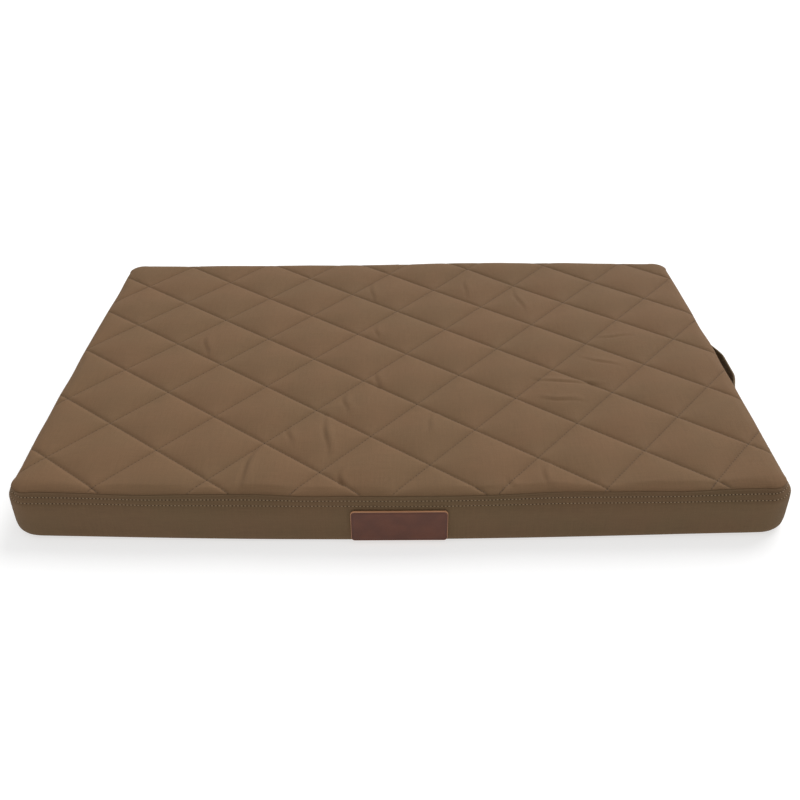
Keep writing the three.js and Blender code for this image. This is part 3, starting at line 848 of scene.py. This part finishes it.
def simulated_puff():
    """Heights of the quilted cloth on a lattice aligned with its stitch lines, from a cloth simulation: the
    stitch lines and the seam are pinned, and pressure lifts the rest. The cloth hardly stretches, so its
    rise is scaled up to that of the wadding."""
    first, last = lattice_reach(0.52, 0.36)
    cells = (last - first) * QUILT_CELLS
    a, b = np.meshgrid(np.arange(cells[0] + 1), np.arange(cells[1] + 1), indexing="ij")
    ai, bj = first[0] + a / QUILT_CELLS, first[1] + b / QUILT_CELLS
    flat = QUILT_ORIGIN + QUILT_PITCH * (ai[..., None] * line_across + bj[..., None] * line_along)
    inside = edge_distance(flat[..., 0], flat[..., 1])
    held = (a % QUILT_CELLS == 0) | (b % QUILT_CELLS == 0)
    quads = grid_faces(numbered(flat))[:, ::-1]
    quads = quads[(inside.ravel()[quads] > -8 * MM).all(axis=1)]
    used = np.unique(quads)
    number = np.full(a.size, -1)
    number[used] = np.arange(len(used))
    start = np.column_stack([flat.reshape(-1, 2), 0.2 * MM * ~held.ravel()])[used]
    mesh = bpy.data.meshes.new("quilting")
    mesh.from_pydata(start.tolist(), [], number[quads].tolist())
    cloth_object = add_object("quilting", mesh)
    pins = cloth_object.vertex_groups.new(name="stitched")
    fixed = np.flatnonzero((held | (inside < 0)).ravel()[used])
    pins.add(fixed.tolist(), 1.0, "REPLACE")
    cloth = cloth_object.modifiers.new("cloth", "CLOTH")
    for setting, value in QUILT_CLOTH.items():
        setattr(cloth.settings, setting, value)
    cloth.settings.effector_weights.gravity = 0
    cloth.point_cache.frame_end = CLOTH_STEPS
    for step in range(1, CLOTH_STEPS + 1):
        bpy.context.scene.frame_set(step)
    settled = cloth_object.evaluated_get(bpy.context.evaluated_depsgraph_get()).to_mesh()
    place = np.empty(len(used) * 3)
    settled.vertices.foreach_get("co", place)
    bpy.data.objects.remove(cloth_object)
    bpy.data.meshes.remove(mesh)
    bpy.context.scene.frame_set(1)
    heights = np.zeros(a.size)
    heights[used] = place[2::3]
    heights = heights.reshape(a.shape)
    return first, PUFF * heights / heights.max()


puff_first, puff_heights = simulated_puff()
padded_puff = np.pad(puff_heights, 2)


def smooth_sample(i, j):
    """The simulated height at lattice places: a Catmull-Rom spline through the four nearest values."""
    weights, starts = [], []
    for place, first, count in zip((i, j), puff_first, puff_heights.shape):
        u = np.clip((place - first) * QUILT_CELLS, 0, count - 1.001)
        whole = np.floor(u).astype(int)
        t = u - whole
        weights.append([
            (-t + 2 * t**2 - t**3) / 2,
            (2 - 5 * t**2 + 3 * t**3) / 2,
            (t + 4 * t**2 - 3 * t**3) / 2,
            (t**3 - t**2) / 2,
        ])
        starts.append(whole + 1)
    total = 0
    for k in range(4):
        for m in range(4):
            total = total + weights[0][k] * weights[1][m] * padded_puff[starts[0] + k, starts[1] + m]
    return total


# Each crease is its two ends on the plan, in millimetres, and how deep it is beside the others.
CREASE_DEPTH, CREASE_WIDTH = 1.4 * MM, 3 * MM
CREASE_WANDER = 2.5 * MM
SWELLING_AWAY, SWELLING_WIDTH = 7 * MM, 6 * MM
CREASES = (
    ((-314, 63), (-304, 5), 0.9), ((-49, 259), (-47, 188), 0.8), ((-38, 94), (-37, 57), 0.8),
    ((-34, -43), (-33, -94), 0.9), ((-80, -113), (-77, -160), 1.0), ((-104, -172), (-98, -257), 1.6),
    ((-154, -192), (-150, -234), 0.9), ((-193, -245), (-207, -325), 1.6), ((-77, -295), (-76, -328), 1.1),
    ((49, -161), (36, -213), 1.0), ((191, -282), (183, -326), 1.1), ((142, -306), (140, -328), 0.8),
    ((120, 265), (116, 205), 0.8), ((202, 224), (211, 147), 1.0), ((325, 52), (375, 52), 0.7),
    ((289, -17), (336, -39), 0.8), ((210, -75), (291, -90), 1.1), ((210, -129), (261, -138), 0.9),
)


def creased(x, y):
    """Creases left by packing: a narrow valley with a low swelling beside it, fading out at its ends."""
    total = np.zeros_like(x)
    for start, end, depth in CREASES:
        start, end = np.array(start) * MM, np.array(end) * MM
        length = np.linalg.norm(end - start)
        along = (end - start) / length
        rel_x, rel_y = x - start[0], y - start[1]
        t = np.clip((rel_x * along[0] + rel_y * along[1]) / length, -0.3, 1.3)
        aside = rel_y * along[0] - rel_x * along[1] + CREASE_WANDER * np.sin(t * 5)
        fade = np.sin(np.pi * np.clip((t + 0.3) / 1.6, 0, 1)) ** 1.5
        swelling = 0.8 * hump(aside, SWELLING_AWAY, SWELLING_WIDTH)
        total += CREASE_DEPTH * depth * fade * (swelling - hump(aside, 0, CREASE_WIDTH))
    return total


def top_height(x, y, inside):
    """Height of the quilted top: a crown that rises steeply from the seam and then levels, swollen along the
    back, the simulated puffs, a groove along each stitch line, and the creases, all fading in over the first
    few millimetres."""
    crown = TOP_SEAM + SEAM_STEP + EDGE_RISE * (1 - (1 - grown(inside, EDGE_WIDTH)) ** 2) ** 0.7
    crown += MIDDLE_RISE * (1 - np.exp(-np.maximum(inside, 0) / MIDDLE_WIDTH))
    crown += 3.5 * MM * hump(x, 0.16, 0.16) * hump(y, 0.33, 0.07) + 1.5 * MM * hump(y, 0.33, 0.05)
    i, j = lattice_place(x, y)
    to_line = np.minimum(np.abs(i - np.round(i)), np.abs(j - np.round(j))) * QUILT_PITCH
    ease = grown(inside, 14 * MM) ** 0.8
    groove = GROOVE * hump(to_line, 0, GROOVE_WIDTH) * grown(inside, 5 * MM)
    return crown + (smooth_sample(i, j) + creased(x, y)) * ease - groove


def on_top(plan):
    """The quilted top's height at places on the plan."""
    return top_height(plan[..., 0], plan[..., 1], edge_distance(plan[..., 0], plan[..., 1]))


RIM = 12 * MM
seam_path = fine.at(seam_inset)
inner_path = fine.at(seam_inset + RIM)
inner_ring = np.column_stack([inner_path, np.zeros(len(inner_path))])
top_patch = fine.patch(inner_ring)
top_patch[..., 2] = on_top(top_patch)
rings = [inner_ring]
for share in (0.8, 0.62, 0.46, 0.32, 0.2, 0.11, 0.045, 0.01):
    flat = seam_path * (1 - share) + inner_path * share
    z = top_height(flat[:, 0], flat[:, 1], np.full(len(flat), share * RIM)) + seam_lift
    rings.append(np.column_stack([flat, z]))
for outwards, drop in ((0.0, 0.0), (-0.4, 0.3), (-2.0, 0.4)):
    flat = seam_path + outwards * MM * fine.direction
    rings.append(np.column_stack([flat, TOP_SEAM - drop * MM + seam_lift]))
points, quads = over_outline(fine, np.array(rings), top=top_patch)
last_ring = np.arange(len(points) - len(seam_path), len(points))

top_finish = canvas_finish("top_canvas", (115, 88, 63), (110, 87, 62), 0.62 * MM, 0.16 * MM)
QUILT_STITCHES = 18  # along one side of a square
lattice = []
for direction in (line_across, line_along):
    shift = -float(QUILT_ORIGIN @ direction) / QUILT_PITCH
    place = (float(direction[0]) / QUILT_PITCH) * top_finish.across
    lattice.append(place + (float(direction[1]) / QUILT_PITCH) * top_finish.along + shift)
quilting_end_shade, valley, groove = 0.0, 0.0, 0.0
for i, j in (lattice, lattice[::-1]):
    to_line = (i * math.pi).sin().size() * (QUILT_PITCH / math.pi)
    beats = (j * (2 * math.pi * QUILT_STITCHES) + math.pi / 2).sin().ramp(0.3, 0.9)
    quilting_end_shade = quilting_end_shade + (1 - to_line.ramp(0.35 * MM, 0.9 * MM)) * beats
    valley = valley + (1 - to_line.ramp(0.0, 2.6 * MM))
    beyond = 1 - to_line.ramp(0.0, 4.5 * MM)
    groove = groove - beyond * beyond
# Painted shade: the cloth is darkened along each stitch line, where its groove would lie in shade.
groove_shaded_body = top_finish.mix(valley * 0.12, top_finish.body, colour(72, 56, 41))
# Painted shade: dark spots where the quilting thread goes into the cloth between stitches.
top_finish.vary("Base Color", top_finish.mix(quilting_end_shade * 0.55, groove_shaded_body, colour(40, 30, 21)))
top_finish.vary("Normal", top_finish.bump(groove, 0.5 * MM, 1.0, top_finish.woven))
top = make_piece("quilted_top", points, quads, "bed", top_finish, [last_ring[::-1]], points[:, :2])
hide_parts("quilt_face", "quilt_batting", "quilt_backing")

# ---- Quilting stitches ----
# Thin dark thread, run by machine along both families of lines before the top is cut out, and pulled down
# into the wadding.
QUILT_STITCH, QUILT_THREAD = 3.6 * MM, 0.3 * MM
quilt_thread = speckled("thread_quilting", (102, 80, 58), (88, 69, 50), 1800.0, Roughness=0.7)
first, last = lattice_reach(BED_WIDTH / 2, BED_DEPTH / 2)
places, runs = [], []
for direction, other, own, cross in ((line_along, line_across, 0, 1), (line_across, line_along, 1, 0)):
    lines = np.arange(first[own], last[own] + 1)
    squares = last[cross] - first[cross]
    steps = (np.arange(squares * QUILT_STITCHES) + 0.5) / QUILT_STITCHES + first[cross]
    fixed, moving = np.meshgrid(lines, steps, indexing="ij")
    plan = QUILT_ORIGIN + QUILT_PITCH * (fixed.reshape(-1, 1) * other + moving.reshape(-1, 1) * direction)
    places.append(plan)
    runs.append(np.broadcast_to(direction, plan.shape))
places, runs = np.concatenate(places), np.concatenate(runs)
inside = edge_distance(places[:, 0], places[:, 1])
kept = inside > 2.5 * MM
places, runs = places[kept], runs[kept]
centre = np.column_stack([places, on_top(places)])
rise = (on_top(places + 1 * MM * runs) - on_top(places - 1 * MM * runs)) / (2 * MM)
along = np.column_stack([runs, rise])
outward = np.array([[0, 0, 1.0]]) - along[:, 2:] * along / (along**2).sum(axis=1, keepdims=True)
sewn("quilting_stitches", "bed", quilt_thread, centre, along, outward, QUILT_STITCH, QUILT_THREAD)

# ---- Leather label ----
# A blank patch of thick brown leather with round corners, glued to the front of the band. A creaser has run a
# line round its face, and its cut edge is raw and pale.
LABEL_CORNER = 5 * MM
CREASE_LINE = 2.6 * MM
leather = Finish("label_leather", Specular_IOR_Level=0.4)
leather_place = leather.object_place()
pore_sockets = {"Vector": leather_place, "Scale": 900.0}
pores = leather.node("ShaderNodeTexVoronoi", {"feature": "DISTANCE_TO_EDGE"}, pore_sockets)
grain = leather.noise(leather_place, 420.0, 4.0, 0.6)
clouds = leather.noise(leather_place, 55.0, 3.0)
face_tone = leather.mix(clouds.ramp(0.3, 0.7), colour(93, 47, 26), colour(83, 41, 22))
label_inset = leather.node("ShaderNodeUVMap", {"uv_map": "cloth"})
rim_place = leather.node("ShaderNodeSeparateXYZ", None, {0: label_inset})
on_crease = 1 - (rim_place - CREASE_LINE).size().ramp(0.25 * MM, 0.9 * MM)
cut_edge = 1 - rim_place.ramp(0.25 * MM, 0.6 * MM)
creased_tone = leather.mix(on_crease * 0.55, face_tone, colour(74, 38, 29))
leather.vary("Base Color", leather.mix(cut_edge, creased_tone, colour(205, 150, 110)))
leather.vary("Roughness", grain * 0.25 + 0.38)
leather.vary("Normal", leather.bump(pores.ramp(0, 0.25) * 0.5 + grain, 0.12 * MM, 0.6))
label_low, label_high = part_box("leather_label")
label_middle, label_half = (label_low + label_high) / 2, (label_high - label_low) / 2
thick = label_high[1] - label_low[1]
label_rim = [(0, 0), (0, thick - 0.5 * MM), (0.15 * MM, thick - 0.15 * MM)]
label_rim += [(0.5 * MM, thick), (1.6 * MM, thick)]
for past, depth in ((-0.6, 0), (-0.3, 0.6), (0, 1), (0.3, 0.6), (0.6, 0)):
    label_rim.append((CREASE_LINE + past * MM, thick - 0.3 * MM * depth))
label_rim += [(inset * MM, thick) for inset in (4.5, 8, 14, 21)]
rings, quads, ends = plaque(label_half[0], label_half[2], LABEL_CORNER, label_rim)
wave = 0.25 * MM * np.sin(rings[..., 0] / 21 / MM + 0.6) * np.cos(rings[..., 1] / 26 / MM)
out = label_high[1] - rings[..., 2] - wave * (rings[..., 2] > thick / 2)
points = np.stack([label_middle[0] + rings[..., 0], out, label_middle[2] + rings[..., 1]], axis=-1)
insets = np.array([inset for inset, out in label_rim])
label_uv = side_by_side(insets[:, None], np.zeros((1, rings.shape[1])))
label = make_piece("leather_label_face", points, quads, "bed", leather, ends, label_uv)
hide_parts("leather_label")

# ---- Carry strap ----
# Canvas folded into a flat strap, sewn down at both ends on the right side and standing off the band between.
# It is drawn as two halves that meet in its middle.
STRAP_SPAN = 160 * MM
STRAP_SEWN = 34 * MM
STRAP_BOW = 13 * MM
STRAP_FALL = 0.1
STRAP_THICK = 3 * MM
STRAP_RISE = 0.35  # the share of the span over which it leaves the band
STRAP_STITCH = 2.1 * MM
STRAP_ROW = 3.2 * MM  # from an edge to its stitching
strap_low, strap_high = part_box("handle_strap")
strap_middle = (strap_low[2] + strap_high[2]) / 2
strap_half = (strap_high[2] - strap_low[2]) / 2
side_middle = FRONT_BOW / 2
side_half = (BED_DEPTH - FRONT_BOW) / 2 - CORNER_RADIUS


def smoothstep(x, low, high):
    """0 below low and 1 above high, with a cubic between that is level at both."""
    t = grown(x - low, high - low)
    return t * t * (3 - 2 * t)


def strap_inner(y):
    """Where the strap's inner face lies: on the band's side at its sewn ends, and between them standing off
    it by a bow that rises over a third of the span at each end and is a little lower at the front."""
    u = y / STRAP_SPAN + 0.5
    rise = smoothstep(u, 0, STRAP_RISE) * smoothstep(1 - u, 0, STRAP_RISE) * (1 - STRAP_FALL * (1 - u))
    side = BED_WIDTH / 2 - SIDE_BOW * ((y - side_middle) / side_half) ** 2
    return side + 0.3 * MM + STRAP_BOW * rise


def strap_place(y, section):
    """Points of the strap: across its width is up, and its thickness is square to its run."""
    slope = (strap_inner(y + 0.5 * MM) - strap_inner(y - 0.5 * MM)) / MM
    out = (STRAP_THICK / 2 + section[..., 1]) / np.sqrt(1 + slope**2)
    return side_by_side(strap_inner(y) + out, y - slope * out, strap_middle + section[..., 0])


strap_finish = canvas_finish("strap_canvas", (104, 86, 63), (98, 83, 60), 0.7 * MM, 0.2 * MM)
strap_section = rounded_section(strap_half, STRAP_THICK / 2, 1.2 * MM, 5)
row_half = strap_half - STRAP_ROW
strap_end = STRAP_SPAN / 2 + STRAP_SEWN
swing_start, swing_end = strap_low[1], strap_high[1]
split = (swing_start + swing_end) / 2
for name, y_from, y_to, rest_y, moving_y, nodes in (
    ("front", -strap_end, split, -STRAP_SPAN / 2, swing_start, ["handle_end_front", "handle_strap"]),
    ("rear", split, strap_end, STRAP_SPAN / 2, swing_end, ["handle_end_rear"]),
):
    y = np.linspace(y_from, y_to, 90)
    points, quads, ends = carried(strap_section, y, strap_place)
    flat = side_by_side(y[:, None], strap_section[None, :, 0])
    strap = make_piece("carry_strap_" + name, points, quads, None, strap_finish, ends, flat)
    start = (float(strap_inner(rest_y)), rest_y, strap_middle)
    end = (float(strap_inner(moving_y)), moving_y, strap_middle)
    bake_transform(strap)
    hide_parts(*nodes)
    along_edges = np.arange(y_from + 2 * MM, y_to - 1 * MM, STITCH_PITCH)
    sewn_to = np.sign(rest_y) * (strap_end - STRAP_ROW)
    level = np.arange(-row_half + STITCH_PITCH, row_half, STITCH_PITCH)
    diagonal = np.linspace(0.04, 0.96, 12)
    box_y = rest_y + (sewn_to - rest_y) * diagonal
    box_z = row_half * (2 * diagonal - 1)
    runs = [(along_edges, np.full(len(along_edges), edge * row_half), (1, 0)) for edge in (-1, 1)]
    runs += [(np.full(len(level), y), level, (0, 1)) for y in (rest_y + 2 * MM * np.sign(rest_y), sewn_to)]
    slant = np.array([sewn_to - rest_y, 2 * row_half])
    runs += [(box_y, box_z, slant), (box_y, -box_z, slant * (1, -1))]
    at, level = (np.concatenate([run[k] for run in runs]) for k in (0, 1))
    ways = [run[2] / np.linalg.norm(run[2]) for run in runs]
    step_y, step_z = 0.5 * MM * np.repeat(ways, [len(run[0]) for run in runs], axis=0).T

    def on_strap(past_y, past_z):
        """The strap's outer face at the stitches, or a little past them."""
        return strap_place(at + past_y, side_by_side(level + past_z, STRAP_THICK / 2))

    centre = on_strap(0, 0)
    along = on_strap(step_y, step_z) - on_strap(-step_y, -step_z)
    outward = np.cross(on_strap(0.5 * MM, 0) - centre, np.array([0, 0, 1.0]))
    seam_name = "strap_stitching_" + name
    seam = sewn(seam_name, None, thread_finish, centre, along, outward, STRAP_STITCH, THREAD)
    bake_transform(seam)

patch_rim = [(0, 0), (0, 0.7 * MM), (0.3 * MM, 1 * MM), (2 * MM, 1 * MM)]
for side in ("front", "rear"):
    low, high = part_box("handle_patch_" + side)
    half, middle = (high - low) / 2, (high + low) / 2
    shape, quads, ends = plaque(half[1], half[2], 1.5 * MM, patch_rim)
    points = np.stack([low[0] + shape[..., 2], middle[1] + shape[..., 0], middle[2] + shape[..., 1]], axis=-1)
    patch = make_piece("strap_patch_" + side, points, quads, "bed", base_finish, ends, points[..., 1:])
    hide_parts("handle_patch_" + side)

# ---- Studio ----
# A plain pale floor that glows a little, a wide soft light above and behind, an even pale surround, and the
# camera. None of it is part of the bed.
WHITE = (1, 1, 1, 1)
FLOOR_GLOW, ROOM_LIGHT, LAMP_LIGHT = 0.62, 0.52, 2.8
FLOOR_HALF, FLOOR_LEVEL = 6, -0.1 * MM
LAMP_WIDTH, LAMP_LEAN, LAMP_TURN = 50, -50, -32  # degrees
SENSOR, LENS = 36, 41.0
CAMERA_PLACE = (1.8 * MM, -1234.2 * MM, 802.5 * MM)
CAMERA_DOWN, CAMERA_ROLL = 33.24, -0.33  # degrees
floor_look = {"Roughness": 1.0, "Specular_IOR_Level": 0.0, "Emission_Color": WHITE}
floor_finish = Finish("floor", Base_Color=(0.5, 0.5, 0.5, 1), Emission_Strength=FLOOR_GLOW, **floor_look)
floor_mesh = bpy.data.meshes.new("floor")
corner_signs = ((-1, -1), (1, -1), (1, 1), (-1, 1))
floor_corners = [(FLOOR_HALF * x, FLOOR_HALF * y, FLOOR_LEVEL) for x, y in corner_signs]
floor_mesh.from_pydata(floor_corners, [], [(0, 1, 2, 3)])
floor_mesh.materials.append(floor_finish.material)
floor = add_object("floor", floor_mesh)

world = bpy.data.worlds.new("studio")
world.use_nodes = True
world.node_tree.nodes["Background"].inputs["Color"].default_value = WHITE
world.node_tree.nodes["Background"].inputs["Strength"].default_value = ROOM_LIGHT
bpy.context.scene.world = world

lamp = bpy.data.lights.new("softbox", "SUN")
lamp.energy = LAMP_LIGHT
lamp.angle = math.radians(LAMP_WIDTH)
add_object("softbox", lamp).rotation_euler = (math.radians(LAMP_LEAN), 0, math.radians(LAMP_TURN))

camera_data = bpy.data.cameras.new("camera")
camera_data.sensor_width = SENSOR
camera_data.lens = LENS
camera = add_object("camera", camera_data)
tilt = Matrix.Rotation(math.radians(90 - CAMERA_DOWN), 4, "X")
roll = Matrix.Rotation(math.radians(CAMERA_ROLL), 4, "Z")
camera.matrix_world = Matrix.Translation(CAMERA_PLACE) @ tilt @ roll
bpy.context.scene.camera = camera
bpy.context.scene.view_settings.view_transform = "Standard"
